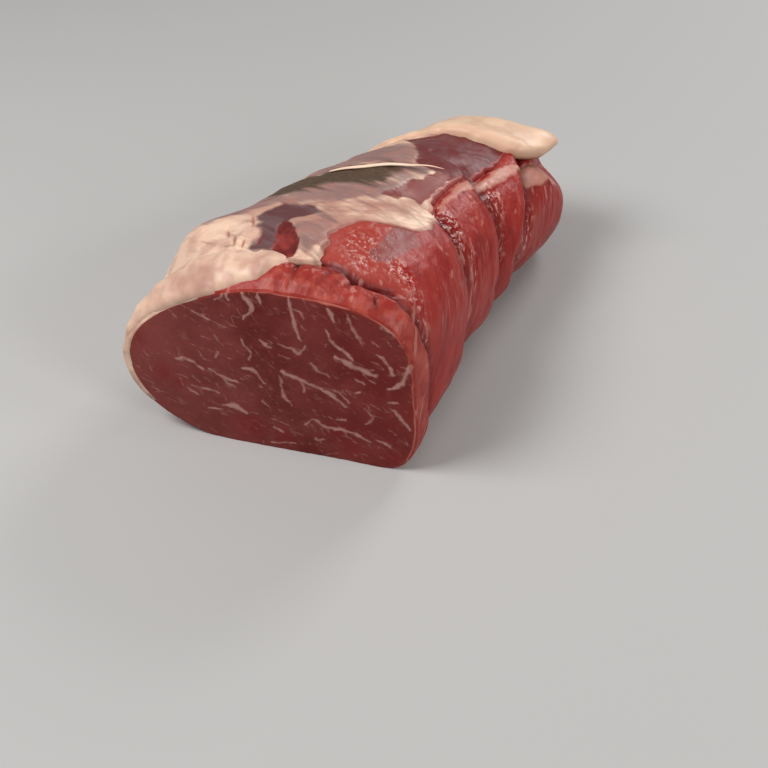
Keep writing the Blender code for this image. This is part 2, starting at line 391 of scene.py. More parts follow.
def tie_relief(back, deg, wobble):
    """Valleys and swells: minus depth * exp(-(d/reach)^0.9), the reach short in front of the tie
    and long behind it, plus a swell in front so that each lobe overhangs the next."""
    height = np.zeros(np.broadcast(back, deg).shape)
    for at_top, at_bottom, deep in VALLEYS:
        d = tie_distance(back, deg, at_top, at_bottom, wobble)
        reach = np.where(d < 0, 0.45 * deep, 1.8 * deep)
        height = np.minimum(height, -deep * np.exp(-(np.abs(d) / reach)**0.9))
        height = height + 0.2 * deep * np.exp(-((d + 1.1 * deep) / (0.8 * deep))**2)
    return height * flank_fade(deg)


def tie_shade(back, deg, wobble):
    """Painted shade, 1 along the bottom of each valley: exp(-(d/reach)^2), 1.5 mm in front, its depth
    behind.
    """
    shade = np.zeros(np.broadcast(back, deg).shape)
    for at_top, at_bottom, deep in VALLEYS:
        d = tie_distance(back, deg, at_top, at_bottom, wobble)
        reach = np.where(d < 0, 1.5, 1.05 * deep)
        shade = np.maximum(shade, np.exp(-(d / reach)**2))
    return shade * flank_fade(deg)


def cut_flare(back, deg):
    """Where the slack end spreads on the board: + size * exp(-((deg-mid)/wide)^2 - (back/22)^2)."""
    spread = 0.0
    for mid, wide, size in FLARES:
        turn = (deg - mid + 180) % 360 - 180
        spread = spread + size * np.exp(-(turn / wide)**2)
    return spread * np.exp(-(back / 22.0)**2)


# %% Where the fat blanket covers the flank
BLANKET_BACKS = (0, 8, 14, 17, 18.5, 22, 29, 35, 40, 44, 48, 53, 56, 58, 60, 62, 66, 72, 80, 85, 90,
                 100, 112, 125, 145, 165, 178, 188, 200, 222)
BLANKET_RIGHT = (132, 104, 94, 87, 77, 76, 78, 80, 82, 81, 79, 76, 73, 67, 60, 54, 50, 48, 47, 47, 50,
                 57, 59, 57, 54, 56, 58, 54, 48, 46)
BLANKET_LEFT_KNOTS = (0, 50, 130, 195, 222)
BLANKET_LEFT = (203, 204, 200, 194, 188)


def blanket_edges(back):
    """Degrees of the blanket's right and left edges at each place along the joint."""
    return smooth(back, BLANKET_BACKS, BLANKET_RIGHT), smooth(back, BLANKET_LEFT_KNOTS, BLANKET_LEFT)


# %% Flank grid
FINE_COLS, COARSE_COLS = 296, 104
FINE_FROM, FINE_TO = -42.0, 104.0
RIM_ROWS, BODY_ROWS, DOME_ROWS = 40, 182, 12


def flank_grid():
    """Rows along the length, columns round the section; the columns crowd together on the bare
    flank and the rows at the cut and over the dome."""
    over_dome = np.sin(np.linspace(0, np.pi / 2, DOME_ROWS + 2)[1:-1])
    back = np.concatenate([np.linspace(0.6, 22.0, RIM_ROWS, endpoint=False),
                           np.linspace(22.0, LENGTH - END_DOME, BODY_ROWS),
                           LENGTH - END_DOME * (1 - over_dome)])
    turn = np.concatenate([np.linspace(FINE_FROM, FINE_TO, FINE_COLS, endpoint=False),
                           np.linspace(FINE_TO, FINE_FROM + 360, COARSE_COLS, endpoint=False)])
    return np.meshgrid(back, np.radians(turn), indexing="ij")


def signed_deg(angle):
    """Degrees round the section from -180 to 180, 0 to the right and 90 up."""
    return np.degrees((angle + np.pi) % (2 * np.pi) - np.pi)


back, angle = flank_grid()
deg = signed_deg(angle)
skin = skin_at(back, angle)
wobble = wander(skin)
relief = tie_relief(back, deg, wobble)
print(f"flank grid {back.shape}, tie valleys down to {relief.min():.1f} mm")

# %% Curled rim behind the cut
crease, _ = line_distance(deg * DEG_MM, back + 0.35 * wobble, as_mm(RIM_CREASE))
rim_zone = step(20, 34, deg) * (1 - step(90, 102, deg))
rim_line = smooth(deg, (20, 44, 52, 58, 64, 70, 78, 87, 104),
                  (19, 19, 15.5, 16.5, 19, 20.5, 19, 17.5, 15))
on_rim = step(-1.5, 2.0, rim_line - back) * rim_zone
rim_swell = on_rim * (RIM_SWELL * np.sin(np.pi * np.clip(back / rim_line, 0, 1))**0.7)
rim_noise = noise_at(deg, RIM_STRETCH * back)
rim_lumps = on_rim * (1.0 * value_noise(rim_noise, 7.0, 31) + 0.45 * value_noise(rim_noise, 2.6, 32))
relief = relief + rim_swell + rim_lumps
relief = relief - CREASE_DEEP * np.exp(-(crease / CREASE_REACH)**1.2) * rim_zone

# %% Gashes, folds in the rim, and caps on the lobes
gash_depth = np.zeros_like(relief)
for line in GASHES:
    d, t = line_distance(deg * DEG_MM + 0.3 * wobble, back, as_mm(line))
    deepest_midway = 0.4 + 0.6 * np.sin(np.pi * t)
    gash_depth = np.maximum(gash_depth, np.exp(-(d / GASH_REACH)**1.5) * deepest_midway)
relief = relief - GASH_DEEP * gash_depth

fold_depth = np.zeros_like(relief)
for a0, b0, a1, b1, deep in RIM_FOLDS:
    d, t = line_distance(deg * DEG_MM + 0.3 * wobble, back, as_mm(((a0, b0), (a1, b1))))
    fold_depth = np.maximum(fold_depth, deep * np.exp(-(d / FOLD_REACH)**1.3) * (1 - 0.7 * t))
relief = relief - fold_depth * on_rim

caps = np.zeros_like(relief)
for outline in LOBE_CAPS:
    caps = np.maximum(caps, patch(deg, back, outline, 6.0, 1.0 * wobble))
relief = relief + CAP_SWELL * caps

# %% Fibres and wet patches
FIBRE_LEAN = 0.56        # mm that the fibres run back for each mm they climb
FIBRE_WIDE, FIBRE_LONG, FIBRE_HIGH = 2.4, 15.0, 0.16
KNOT_WIDE, KNOT_LONG, KNOT_HIGH = 1.7, 4.2, 0.6
LUMP_SIZE, LUMP_HIGH = 11.0, 0.4
round_mm = deg * DEG_MM
across_fibre = back - FIBRE_LEAN * round_mm
along_fibre = round_mm + FIBRE_LEAN * back
fibre_at = noise_at(across_fibre / FIBRE_WIDE, along_fibre / FIBRE_LONG)
fibre = 1 - 2 * np.abs(value_noise(fibre_at, 1.0, 51))
knots_at = noise_at(across_fibre / KNOT_WIDE, along_fibre / KNOT_LONG)
knotty = np.maximum(value_noise(knots_at, 1.0, 54), -0.2)

# each wet patch: degrees, mm back, reach in mm along the fibres and across them
WET_SPOTS = ((43, 28, 14, 7), (34, 22, 10, 5), (20, 16, 10, 4), (66, 37, 12, 14), (40, 90, 15, 7),
             (20, 84, 12, 5), (33, 136, 16, 7), (10, 122, 12, 5), (8, 155, 16, 7), (-8, 146, 10, 6),
             (52, 96, 4, 8))
wet_zone = np.zeros_like(back)
for spot_deg, spot_back, reach_up, reach_back in WET_SPOTS:
    up = (round_mm - spot_deg * DEG_MM) / reach_up
    behind = (across_fibre - (spot_back - FIBRE_LEAN * spot_deg * DEG_MM)) / reach_back
    wet_zone = np.maximum(wet_zone, 1 - step(0.35, 1.3, np.hypot(up, behind)))
print(f"wet share of the flank {wet_zone.mean():.2f}")

# %% Flank relief put together
relief = relief + swell(skin) + LUMP_HIGH * lumps(skin, LUMP_SIZE, 24, 3) + FIBRE_HIGH * fibre
relief = relief + KNOT_HIGH * knotty * wet_zone
dent_deg, dent_wide, dent_back, dent_long, dent_deep = REAR_DENT
from_dent = ((deg - dent_deg) / dent_wide)**2 + ((back - dent_back) / dent_long)**2
relief = relief - dent_deep * np.exp(-from_dent)
fade_ends = step(0, 5, back) * 0.85 + 0.15
under = step(-125, -95, deg) * (1 - step(-60, -40, deg))
relief = relief * fade_ends * (1 - 0.7 * under) + cut_flare(back, deg)
fat_right, fat_left = blanket_edges(back)
upward_deg = np.where(deg < -90, deg + 360, deg)
covered = step(2.5, 7.0, upward_deg - fat_right) * step(2.5, 7.0, fat_left - upward_deg)
relief = relief - SUNK_UNDER_FAT * covered

radius = (section_radius(back, angle) + relief) * dome(back)
flank_points = place(back, angle, radius)
tip = np.array([MID_X[-1], LENGTH, MID_Z[-1]])
front_mid = np.array([MID_X[0], FACE_YAW * MID_X[0] + 2.5, MID_Z[0]])
print(f"flank relief from {relief.min():.1f} to {relief.max():.1f} mm")

# %% [markdown]
# The flank's colour follows what happened to each place: pink where fine fat lies between the fibres,
# brick red on the curled rim, and a greyed lilac where a scrap of membrane is left, while the deep red
# down in the valleys and creases is painted shade.  Each is a mask worked out here and mixed in the
# material.

# %% Flank masks
GREY_SCRAP = ((61, 64), (64, 52), (62, 42), (59, 33), (54, 33), (51, 42), (49, 52), (51, 63))
RED_RAW = ((84, 44), (79, 20), (52, 17), (40, 20), (49, 34), (52, 60), (76, 60))
# painted shade: the deep red mask below darkens the tie valleys, the rim's crease and its folds
creases = np.clip(-tie_relief(back, deg, wobble) / 7.5, 0, 1)
rim_shade = np.exp(-(crease / 1.9)**2) * rim_zone
painted_crease_shade = 0.5 * creases**2 + 0.85 * tie_shade(back, deg, wobble)
painted_crease_shade = np.clip(painted_crease_shade + 0.9 * rim_shade + 0.4 * fold_depth * on_rim, 0, 1)
gash_mask = np.clip(1.3 * gash_depth, 0, 1)
side_rim = step(1.0, -2.0, back - 13) * step(-34, -20, deg) * step(46, 34, deg)
# painted highlight: pale glint specks on the wet patches
painted_glint_specks = step(0.3, 0.7, knotty) * wet_zone
grey_mask = patch(deg, back, GREY_SCRAP, 9.0, 1.6 * wobble)
raw_mask = patch(deg, back, RED_RAW, 8.0, 0.8 * wobble)
end_mask = step(LENGTH - 9, LENGTH - 2, back)

flank = tube_mesh("lean_flank", flank_points,
                  {"rim": np.maximum(on_rim, 0.62 * side_rim), "dark": painted_crease_shade, "wet": wet_zone,
                   "glint_speck": painted_glint_specks, "grey": grey_mask, "raw": raw_mask, "gash": gash_mask,
                   "caps": caps, "end": end_mask},
                  start=front_mid, end=tip)

# %% [markdown]
# ## The cut face
# The knife leaves a nearly flat face that the muscle's own tension domes a little and rounds at
# the rim.  Its marbling is fat between bundles of fibre: a few long streaks, most of them running
# down to the right, and many short flecks.  The streaks are short chains of points with a width,
# so they are drawn where they lie, and the flecks are scattered from a seeded generator.

# %% Marbling streaks
# each streak: width in mm, then its points as (across, up) in mm
STREAKS = (
    (1.5, ((-56, 52), (-48, 49), (-38, 45), (-30, 41), (-25, 36))),
    (0.8, ((-31, 45), (-27, 43), (-24, 39))),
    (0.7, ((-48, 49), (-46, 44), (-47, 41))),
    (0.6, ((-88, 42), (-84, 38), (-80, 37))),
    (0.6, ((-27, 21), (-25, 16), (-21, 13))),
    (0.6, ((-50, 91), (-46, 89), (-44, 85))),
    (0.7, ((-18, 62), (-16, 57), (-12, 54))),
    (2.3, ((-30, 66), (-24, 63), (-18, 62), (-12, 59))),
    (1.1, ((-35, 81), (-30, 74), (-26, 70), (-22, 66))),
    (0.8, ((-24, 92), (-21, 83), (-17, 76))),
    (1.4, ((-51, 98), (-51, 91), (-50, 84), (-48, 78), (-46, 73))),
    (1.3, ((-75, 97), (-72, 92), (-69, 87), (-73, 80))),
    (1.5, ((-87, 93), (-82, 93), (-80, 90))),
    (1.0, ((-84, 97), (-83, 91), (-86, 88))),
    (1.2, ((-65, 96), (-65, 91))),
    (0.8, ((-98, 80), (-91, 76), (-83, 73))),
    (1.2, ((-109, 49), (-103, 49), (-97, 44))),
    (1.3, ((-93, 45), (-87, 42), (-79, 40))),
    (1.3, ((-76, 50), (-70, 49), (-66, 43))),
    (1.1, ((-67, 69), (-61, 66))),
    (1.3, ((-57, 69), (-50, 67), (-47, 65), (-45, 70))),
    (0.9, ((-57, 49), (-57, 41), (-56, 36), (-52, 31))),
    (2.0, ((-33, 20), (-27, 21), (-20, 19), (-15, 15))),
    (1.7, ((-88, 23), (-82, 24), (-76, 21))),
    (0.8, ((-96, 19), (-88, 20))),
    (1.0, ((-103, 33), (-95, 32), (-90, 31))),
    (1.0, ((-47, 20), (-43, 25), (-37, 21), (-32, 21))),
    (1.1, ((-11, 72), (-7, 68), (-3, 61))),
    (1.7, ((-5, 52), (0, 55), (2, 62), (4, 67))),
    (1.6, ((-5, 43), (-1, 44))),
    (1.1, ((-4, 40), (1, 34), (5, 28))),
    (1.1, ((-17, 37), (-13, 33), (-16, 27))),
    (1.8, ((-11, 94), (-8, 89), (-3, 84))),
    (1.0, ((-11, 18), (-4, 16))),
    (0.9, ((-62, 14), (-58, 12))),
    (0.9, ((-42, 11), (-38, 12))),
    (1.1, ((-31, 27), (-26, 28))),
    (1.4, ((-33, 94), (-31, 87))),
    (1.2, ((-21, 46), (-19, 47))),
    (0.9, ((-20, 55), (-17, 53))),
    (0.8, ((-68, 31), (-64, 27))),
    (1.0, ((-65, 3), (-59, 4), (-52, 5))),
    (0.7, ((-75, 68), (-72, 61), (-72, 56))),
    (0.7, ((-106, 30), (-101, 27))),
    (1.0, ((-89, 53), (-87, 57))),
    (0.8, ((-42, 60), (-38, 56), (-34, 54))),
)
FLECKS = 620


def marbling(x, z):
    """How much fat shows at a point of the face: for each streak, 1 within its width and falling
    off over half a millimetre.  The points are stirred first, and the width and strength wander
    along the streak; flecks are the same with one segment each."""
    at = noise_at(x, 0.0, z)
    x = x + 0.9 * value_noise(at, 5.0, 81) + 0.45 * value_noise(at, 1.9, 82)
    z = z + 0.9 * value_noise(at, 5.0, 83) + 0.45 * value_noise(at, 1.9, 84)
    thin = 0.75 + 0.45 * value_noise(at, 4.0, 86)
    fat = np.zeros_like(x)
    for width, line in STREAKS:
        knots = np.arange(len(line))
        fine = np.linspace(0, len(line) - 1, 4 * len(line))
        curve = list(zip(smooth(fine, knots, [p[0] for p in line]),
                         smooth(fine, knots, [p[1] for p in line])))
        d, t = line_distance(x, z, curve)
        own = 1.15 * width * thin * (0.4 + 0.75 * np.sin(np.pi * np.clip(t, 0.04, 0.96)))
        strength = min(1.0, 0.5 + 0.3 * width) * (0.6 + 0.4 * thin)
        fat = np.maximum(fat, strength * (1 - step(0.0, own + 0.8, d)))
        fat = np.maximum(fat, 0.13 * width * (1 - step(0.3, 3.6, d)))
    rng = np.random.default_rng(7)
    for _ in range(FLECKS):
        cx, cz = rng.uniform(-134, 7), rng.uniform(2, 98)
        turn = rng.normal(-0.6, 0.4)
        reach = rng.uniform(0.4, 3.4)
        strength = rng.uniform(0.10, 0.50)
        wide = rng.uniform(0.45, 0.95)
        ends = ((cx - reach * np.cos(turn), cz - reach * np.sin(turn)),
                (cx + reach * np.cos(turn), cz + reach * np.sin(turn)))
        near = (np.abs(x - cx) < 6) & (np.abs(z - cz) < 6)
        d, _ = line_distance(x[near], z[near], ends)
        fat[near] = np.maximum(fat[near], strength * (1 - step(0.1, wide, d)))
    return fat


# %% Face surface
FACE_SIDE = 297
FACE_DOME = 1.6          # mm that the middle stands out
FACE_EDGE = 2.4          # radius that its rim is rounded to
FACE_LIFT = 0.55         # share of the unevenness that shows on a cut surface
FACE_SET_BACK = 0.3
FACE_THICK = 5.0


def square_to_round(side):
    """Square grid bent to a round one: each square ring of points becomes a ring of the section,
    so the points stay evenly spread.  Gives the share of the radius and the angle."""
    a, b = np.meshgrid(np.linspace(-1, 1, side), np.linspace(-1, 1, side))
    share = np.maximum(np.abs(a), np.abs(b))
    safe = np.where(share == 0, 1.0, share)
    wide = np.abs(a) >= np.abs(b)
    quarter = np.where(wide, b / safe, a / safe) * np.pi / 4
    turn = np.where(wide, np.where(a >= 0, quarter, np.pi - quarter),
                    np.where(b >= 0, np.pi / 2 - quarter, 1.5 * np.pi + quarter))
    return share, turn


share, turn = square_to_round(FACE_SIDE)
turn_deg = signed_deg(turn)
rim_radius = section_radius(0.0 * turn, turn) + cut_flare(0.0, turn_deg)
rim_radius = rim_radius + 0.15 * tie_relief(0.0 * turn, turn_deg, 0.0)
flat = place(0.0 * turn, turn, share * rim_radius)
edge_in = (1 - share) * rim_radius
lift = FACE_DOME * (1 - share**2) + 0.7 * lumps(flat, 30.0, 71, 2)
fat_share = marbling(flat[..., 0], flat[..., 2])
grain = 0.10 * value_noise(flat, 1.6, 91) + 0.14 * value_noise(flat, 3.4, 92)
lift = lift + (grain + 0.16 * fat_share) * step(0, 4, edge_in)
edge_share = np.clip(edge_in / FACE_EDGE, 0, 1)
roll_back = FACE_EDGE * (1 - np.sqrt(1 - (1 - edge_share)**2))
face_front = flat.copy()
face_front[..., 1] += FACE_SET_BACK - FACE_LIFT * lift + roll_back
face_rear = flat.copy()
face_rear[..., 1] += FACE_THICK

edge_mask = 1 - step(0.4, 2.6, edge_in + 0.5 * value_noise(flat, 5.0, 97))
top_edge = step(38, 60, turn_deg) * step(125, 100, turn_deg)
right_edge = step(-40, -25, turn_deg) * step(60, 40, turn_deg)
bright_edge = edge_mask * np.maximum(top_edge, right_edge)
# painted light: the face is made paler towards its left side, plus random paler patches; painted shade:
# darker and redder towards its right side
painted_light_and_pale_patches = 0.8 * step(-55, -125, flat[..., 0]) + 0.3 * lumps(flat, 40.0, 95, 2)
painted_shade_right = step(-60, -5, flat[..., 0] + 8 * value_noise(flat, 30.0, 98))
# darker spots of the face: across, up, reach, in mm
BLOOD_SPOTS = ((-75, 12, 9), (-24, 9, 6), (-31, 20, 5), (-129, 57, 5), (-117, 38, 5), (5, 40, 4),
               (-1, 8, 5), (-58, 8, 6), (-110, 33, 3))
blood = np.zeros_like(share)
for bx, bz, reach in BLOOD_SPOTS:
    blood = np.maximum(blood, np.exp(-((flat[..., 0] - bx)**2 + (flat[..., 2] - bz)**2) / reach**2))

cut_face = slab_mesh("cut_face", face_front, face_rear,
                     {"streak": fat_share, "edge": edge_mask, "painted_light_and_pale_patches": painted_light_and_pale_patches, "painted_shade_right": painted_shade_right,
                      "blood": blood, "bright": bright_edge}, solid_back=False)

# %% [markdown]
# ## The fat blanket
# The fat over the back is a few millimetres thick, with a ragged edge where it has been trimmed
# off the flank.  It could be painted on the muscle, but its edge stands up and catches light, so
# it is a slab of its own: rows along the joint, columns from the ragged edge on the right to the
# edge low on the left, and a thickness that swells into a shoulder near the cut.  Windows where
# the knife went through to dark flesh, the dried patch and the silverskin are masks.

# %% Blanket outline
# swellings of the fat: mm back, reach, degrees, reach, height
SHOULDERS = ((48, 15, 149, 20, 6.8), (66, 22, 150, 20, 0.8), (34, 12, 118, 8, 1.6),
             (19, 9, 163, 14, -2.6), (26, 9, 79, 4, 1.4), (187, 14, 130, 16, 2.0))
# outlines of what shows through or lies on the fat: points of (degrees round, mm back)
WINDOW = ((123, 49), (118, 63), (101, 63), (94, 55), (102, 46), (101, 38), (96, 24), (96, 19), (110, 21),
          (113, 36))
WOUND = ((107, 46), (101, 43), (97, 39), (92, 31), (88, 23), (86, 17), (97, 17), (102, 30), (107, 40))
RED_STRIPES = ((82, 86), (76, 96), (75, 112), (71, 124), (62, 128), (60, 108), (63, 92), (72, 86))
MEMBRANE = ((126, 169), (112, 158), (104, 149), (94, 140), (86, 130), (80, 127), (60, 126), (48, 132),
            (46, 166), (50, 186), (62, 185), (77, 178), (92, 181), (104, 184))
DRIED = ((146, 82), (129, 73), (117, 78), (104, 84), (93, 89), (85, 105), (82, 120), (92, 120),
         (106, 116), (120, 113), (136, 106), (148, 96))
SILVER_FRONT = ((170, 60), (140, 50), (124, 60), (104, 65), (90, 73), (77, 88), (83, 103), (104, 92),
                (124, 84), (152, 90))
SILVER_SIDE = ((100, 80), (84, 79), (73, 92), (73, 114), (78, 125), (90, 121), (87, 104), (94, 90))
SILVER_TIP = ((100, 104), (86, 102), (74, 112), (73, 128), (88, 128), (104, 122))
SILVER_REAR = ((84, 119), (104, 121), (130, 108), (168, 104), (162, 148), (126, 160), (108, 152),
               (90, 134))
GREY_SIDE = ((99, 40), (93, 50), (84, 50), (80, 32), (83, 22), (88, 26), (93, 34))
CREAM = ((62, 101), (60, 90), (52, 84), (46, 84), (48, 96), (56, 103))
CRACKS = (((124, 35), (121, 29), (118, 23)), ((128, 55), (122, 46), (116, 34)), ((131, 41), (127, 33)),
          ((111, 33), (108, 24)), ((116, 30), (113, 21)))

blanket_rows, blanket_cols = 240, 200
b_back = np.concatenate([np.linspace(0.3, 130.0, 165, endpoint=False), np.linspace(130.0, 221.0, 75)])
b_back = b_back[:, None]
across = np.linspace(0, 1, blanket_cols)[None, :]**1.25
line_back = noise_at(b_back)
ragged = 1.3 * value_noise(line_back, 7.0, 101) + 0.9 * value_noise(line_back, 2.6, 102)
edge_right, edge_left = blanket_edges(b_back)
edge_right = edge_right + ragged * step(14, 24, b_back)
edge_left = edge_left + 1.5 * ragged[::-1]
b_deg = edge_right + (edge_left - edge_right) * across
b_back = b_back + 0 * b_deg
b_angle = np.radians(b_deg)
b_skin = skin_at(b_back, b_angle)

# %% Blanket marks
STREAK_LEAN = 0.42       # mm back that the streaks run for each mm they run down to the right
STREAK_WIDE, STREAK_LONG = 2.6, 26.0
streak_line = b_back + STREAK_LEAN * b_deg * DEG_MM
streak_at = noise_at(streak_line / STREAK_WIDE, b_deg * DEG_MM / STREAK_LONG)
streaks = value_noise(streak_at, 1.0, 131) + 0.5 * value_noise(streak_at * [2.1, 1.4, 1.0], 1.0, 132)
warp_back = 1.8 * lumps(b_skin, 11.0, 111, 3) + 0.9 * streaks
warp_deg = 2.2 * lumps(b_skin, 12.0, 114, 3)


def mark(outline, soft, warped=1.0):
    """Mask of one outline on the blanket, its points first moved by the warp."""
    return patch(b_deg + warped * warp_deg, b_back + warped * warp_back, outline, soft)


window = mark(WINDOW, 7.0)
wound = mark(WOUND, 3.0, 0.5)
stripes = mark(RED_STRIPES, 7.0, 1.3)
membrane = mark(MEMBRANE, 5.0, 0.8)
dried = mark(DRIED, 18.0, 2.0)
silver = np.maximum(mark(SILVER_FRONT, 8.0, 1.6), mark(SILVER_REAR, 8.0, 1.6))
silver = np.maximum(silver, 0.75 * mark(SILVER_SIDE, 8.0, 1.6))
silver = np.maximum(silver, 0.85 * mark(SILVER_TIP, 7.0, 1.2))
silver = np.maximum(silver, 0.7 * mark(GREY_SIDE, 5.0, 0.6))
lilac = step(0, 1, (b_back - 128 + 0.3 * (b_deg - 60) + 9 * streaks) / 30)
cream = np.maximum(mark(CREAM, 7.0), step(106, 120, b_deg) * (1 - step(40, 62, b_back + 2 * warp_back)))
crack = np.zeros_like(b_deg)
for line in CRACKS:
    d, t = line_distance((b_deg + 0.3 * warp_deg) * DEG_MM, b_back, as_mm(line))
    crack = np.maximum(crack, np.exp(-(d / 1.0)**1.5) * np.sin(np.pi * np.clip(t, 0.12, 0.88)))
bare = step(76, 90, b_back)
right_in = (b_deg - edge_right) * DEG_MM
edge_rose = step(6.0, 0.5, right_in + 1.2 * streaks) * step(22, 30, b_back)
flesh = bare * (1 - step(0.5, 5.0, right_in + 1.2 * warp_deg)) * (1 - step(180, 190, b_back))

# %% Blanket thickness
FAT_THICK = 2.4          # mm over the back
FAT_THINNED = 1.6        # less this on the right behind the cut
FAT_BELOW = 3.0          # mm that its closed underside lies inside the muscle
thin_side = 1 - step(70, 110, b_deg)
pucker = lumps(b_skin, 6.5, 139, 3)
# painted shade: the fat is given a darker rose tone where its puckers dip
hollow_shade = step(0.05, -0.6, pucker)
thick = FAT_THICK - FAT_THINNED * thin_side * step(26, 55, b_back)
thick = thick + 0.7 * lumps(b_skin, 16.0, 121, 2) + 0.38 * pucker
for at, reach, mid, spread, high in SHOULDERS:
    thick = thick + high * np.exp(-((b_back - at) / reach)**2 - ((b_deg - mid) / spread)**2)
sunk = np.maximum(np.maximum(0.9 * window, 2.4 * wound), 0.8 * np.maximum(stripes, membrane))
thick = thick - sunk - 1.8 * crack
thick = thick + 0.22 * streaks * (1 - dried) + 0.16 * value_noise(b_skin, 1.9, 135) * dried
thick = thick + wound * 1.3 * value_noise(b_skin, 4.0, 137)
from_edge = np.minimum(right_in, (edge_left - b_deg) * DEG_MM)
wedge = step(-0.5, 9.0, from_edge)
rounded = np.sqrt(step(-0.8, 4.0, from_edge))
thick = np.maximum(thick, 0.25) * (rounded + (wedge - rounded) * bare)
thick = thick - 0.7 * (1 - step(0, 1.8, from_edge))
b_base = (section_radius(b_back, b_angle) + swell(b_skin)) * dome(b_back) + cut_flare(b_back, b_deg)
b_ties = tie_relief(b_back, b_deg, wander(b_skin))
front_crop = step(12, 20, b_back)      # under the lip the blanket dives below it
top_sheet = place(b_back, b_angle, b_base + b_ties + thick * (0.25 + 0.75 * front_crop))
low_sheet = place(b_back, b_angle, b_base + b_ties - FAT_BELOW)
yellow = step(120, 190, b_back) * (1 - membrane)

blanket = slab_mesh("fat_blanket", top_sheet, low_sheet,
                    {"window": window, "wound": wound, "stripes": stripes, "membrane": membrane,
                     "dried": dried, "silver": silver, "yellow": yellow, "cream": cream,
                     "crack": crack, "flesh": flesh, "streaks": 0.5 + 0.4 * streaks, "lilac": lilac,
                     "hollow_shade": hollow_shade, "rose": edge_rose}, solid_back=False)

# %% [markdown]
# ## The lip at the cut and the rear cap
# At the cut the fat is a thick roll that ends in a tongue, and it was sliced with the meat, so its
# front is flat.  It is a D-shaped profile carried round the rim of the face.  At the rear the
# fat is thickest: a smooth cap, its front edge rounded where it was trimmed and its right corner
# left as a pointed flap.

# %% Fat lip
LIP_DEG = (88, 91, 97, 106, 118, 130, 142, 152, 160, 168, 176, 182, 204)
LIP_THICK = (0.6, 2.4, 4.0, 4.8, 6.0, 6.6, 6.2, 5.6, 5.0, 3.8, 1.6, 0.8, 0.5)
LIP_DEPTH = (1.5, 4.5, 8.0, 9.5, 11.0, 11.5, 10.5, 8.0, 6.5, 5.5, 3.5, 2.0, 1.2)
LIP_BACK = (16, 15.0, 13.5, 13.0, 11.8, 11.8, 10.6, 8.2, 7.2, 6.2, 4.2, 2.5, 2.0)
LIP_ROWS, LIP_COLS = 280, 84

l_deg = np.linspace(LIP_DEG[0], LIP_DEG[-1], LIP_ROWS)[:, None]
l_turn = np.arange(LIP_COLS)[None, :] * 2 * np.pi / LIP_COLS
l_thick, l_deep, l_mid = [smooth(l_deg, LIP_DEG, v) for v in (LIP_THICK, LIP_DEPTH, LIP_BACK)]
c, s = np.cos(l_turn), np.sin(l_turn)
power = np.where(c < 0, 2.6, 2.2)
profile = (np.abs(c)**power + np.abs(s)**power)**(-1 / power)
l_back = l_mid + l_deep * profile * c
l_angle = np.radians(l_deg) + 0 * l_back
l_at = np.clip(l_back, 0, 60)
l_base = section_radius(l_at, l_angle) + cut_flare(l_at, l_deg)
l_skin = place(l_at, l_angle, l_base)
l_size = step(0.5, 4.0, l_thick)
l_lump = (1.6 * lumps(l_skin, 13.0, 151, 2) + 0.35 * value_noise(l_skin, 3.0, 154)) * l_size
l_fold_at = noise_at(l_deg / 6.0 - l_back / 14.0, l_back / 20.0)
l_fold = 0.8 * np.maximum(value_noise(l_fold_at, 1.0, 156), 0)
l_out = l_thick * profile * s * np.where(s > 0, 1.0, 0.7)
l_radius = l_base + l_out + np.where(s > 0, (l_lump - l_fold * l_size) * s, 0.0)
lip_points = place(np.maximum(l_back, 0.0), l_angle, l_radius)
lip_points[..., 1] += np.minimum(l_back, 0.0) * 0.4
# painted shade: a darker tone in the lip's dips and folds
l_hollow_shade = np.clip(step(0.1, -0.7, value_noise(l_skin, 3.0, 154)) + l_fold, 0, 1)
l_tint = np.clip(0.5 + 0.5 * lumps(l_skin, 9.0, 158, 3) + 0.5 * step(165, 185, l_deg), 0, 1)
lip = tube_mesh("fat_lip", lip_points[:, ::-1], {"tint": l_tint[:, ::-1], "hollow_shade": l_hollow_shade[:, ::-1]})

# %% Rear fat cap
CAP_DEG = (42, 47, 51, 56, 66, 82, 100, 112, 130, 155, 190)
CAP_FRONT = (196, 187, 182, 179, 178, 178, 181, 183, 172, 164, 166)
CAP_ROWS, CAP_COLS = 150, 170
CAP_EDGE = 8.0           # mm over which its rim is rounded
CAP_THICK = 5.2
CAP_LIFT = 1.4
CAP_BELOW = 2.0
# pointed corner of the cap: degrees, reach, mm back, reach, height
FLAP = (47.0, 15.0, 209.0, 12.0, 6.5)

c_deg = np.linspace(CAP_DEG[0], CAP_DEG[-1], CAP_COLS)[None, :]
c_run = np.linspace(0, 1, CAP_ROWS)[:, None]
c_line = noise_at(c_deg)
c_front = smooth(c_deg, CAP_DEG, CAP_FRONT) + 1.2 * value_noise(c_line, 9.0, 161)
c_end = LENGTH - 3.4 + 1.3 * value_noise(c_line, 13.0, 163)
c_back = c_front + (c_end - c_front) * np.sin(c_run * np.pi / 2)
c_deg = c_deg + 0 * c_back
c_angle = np.radians(c_deg)
c_skin = skin_at(c_back, c_angle)
c_edge = np.minimum(c_back - c_front, np.minimum(2.2 * (c_deg - CAP_DEG[0]), CAP_DEG[-1] - c_deg))
c_edge = np.minimum(c_edge, 40.0 * (1 - c_run))
c_pucker = lumps(c_skin, 8.0, 175, 3)
c_thick = CAP_THICK + 0.9 * lumps(c_skin, 24.0, 171, 2) + 0.3 * c_pucker
c_round = np.sqrt(1 - (1 - np.clip(c_edge / CAP_EDGE, 0, 1))**2)
c_thick = c_thick * c_round - 0.6 * (1 - step(0, 0.8, c_edge))
flap_deg, flap_wide, flap_back, flap_long, flap_high = FLAP
